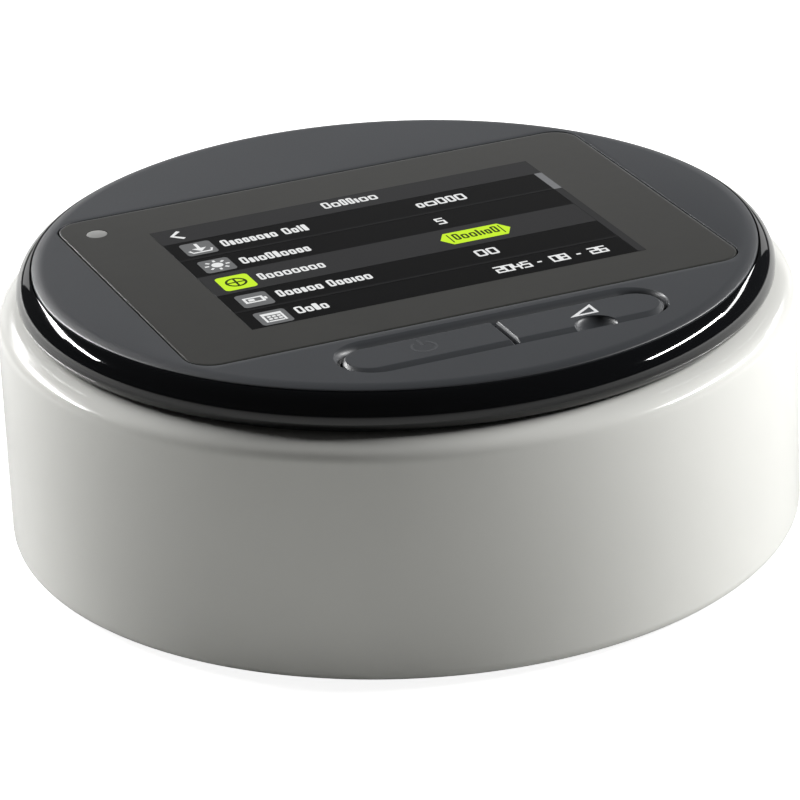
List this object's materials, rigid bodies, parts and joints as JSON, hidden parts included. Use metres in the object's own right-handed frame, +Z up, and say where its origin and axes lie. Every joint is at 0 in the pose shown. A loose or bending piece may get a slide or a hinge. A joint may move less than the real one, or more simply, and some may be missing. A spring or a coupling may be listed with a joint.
{
  "type": "cpap machine",
  "caption": "Compact round positive airway pressure machine: white drum, black lid with a screen and pill-shaped buttons, rear hose port, filter door, blower inside.",
  "frame": {"origin": "centre of the bounding box, on the surface that the feet stand on", "axes": "+Z up, -Y towards the user, where the buttons are, +Y out of the back along the hose port, +X to the user's right"},
  "size_m": [0.142, 0.1632, 0.0518],
  "materials": {
    "white_plastic": "satin white moulding",
    "gloss_black": "high gloss black",
    "satin_grey": "fine satin dark grey",
    "lens_dark": "smooth tinted window",
    "smoked_window": "smooth smoked window",
    "display_metal": "black-coated sheet bezel",
    "black_plastic": "matt black",
    "dark_plastic": "matt dark grey",
    "rubber": "matt black rubber",
    "silicone": "translucent grey silicone",
    "foam": "open-cell foam and filter wool",
    "steel": "bright zinc-plated steel",
    "copper": "enamelled copper winding",
    "nickel": "nickel-plated cell can",
    "board": "green solder mask on glass-fibre board",
    "chip": "moulded black epoxy"
  },
  "bodies": {
    "housing": {"body_shell": "white_plastic", "base_plate": "white_plastic", "air_outlet": "white_plastic", "top_cover": "gloss_black", "face_plate": "satin_grey", "display_lens": "lens_dark", "light_sensor": "smoked_window", "display_panel": "display_metal", "chassis": "black_plastic", "display_frame": "black_plastic", "filter_tray": "dark_plastic", "dc_jack": "dark_plastic", "blower_base": "dark_plastic", "blower_top": "dark_plastic", "foot_1": "rubber", "foot_2": "rubber", "foot_3": "rubber", "foot_4": "rubber", "blower_damper_1": "rubber", "blower_damper_2": "rubber", "blower_damper_3": "rubber", "power_dome": "silicone", "ramp_dome": "silicone", "outlet_bellows": "silicone", "muffler_foam": "foam", "motor_can": "steel", "bearing_lower": "steel", "bearing_upper": "steel", "card_reader": "steel", "base_screw_1": "steel", "base_screw_2": "steel", "base_screw_3": "steel", "base_screw_4": "steel", "lid_screw_1": "steel", "lid_screw_2": "steel", "lid_screw_3": "steel", "lid_screw_4": "steel", "main_board_screw_1": "steel", "main_board_screw_2": "steel", "main_board_screw_3": "steel", "main_board_screw_4": "steel", "key_board_screw_1": "steel", "key_board_screw_2": "steel", "motor_stator": "copper", "clock_cell": "nickel", "key_board": "board", "main_board": "board", "card_board": "board", "processor": "chip", "ribbon_socket": "chip", "buzzer": "chip", "pressure_sensor": "chip"},
    "power_key": {"power_button": "satin_grey"},
    "ramp_key": {"ramp_button": "satin_grey"},
    "blower_rotor": {"impeller": "white_plastic", "motor_shaft": "steel", "motor_magnet": "dark_plastic"},
    "filter_pack": {"filter_cover": "white_plastic", "air_filter": "foam"},
    "card": {"memory_card": "dark_plastic"}
  },
  "joints": [
    {"name": "power_button_press", "type": "slide", "parent": "housing", "child": "power_key", "axis": [0, 0, -1], "range_m": [0, 0.0007], "stiffness_N_per_m": 1500, "deforming": ["power_dome"]},
    {"name": "ramp_button_press", "type": "slide", "parent": "housing", "child": "ramp_key", "axis": [0, 0, -1], "range_m": [0, 0.0007], "stiffness_N_per_m": 1500, "deforming": ["ramp_dome"]},
    {"name": "impeller_spin", "type": "hinge", "parent": "housing", "child": "blower_rotor", "pos_m": [-0.022, -0.0106, 0.0145], "axis": [0, 0, 1], "continuous": true},
    {"name": "filter_cover_pull", "type": "slide", "parent": "housing", "child": "filter_pack", "axis": [-0.6018, 0.7986, 0], "range_m": [0, 0.03]},
    {"name": "memory_card_slide", "type": "slide", "parent": "housing", "child": "card", "axis": [1, 0, 0], "range_m": [0, 0.033]}
  ]
}
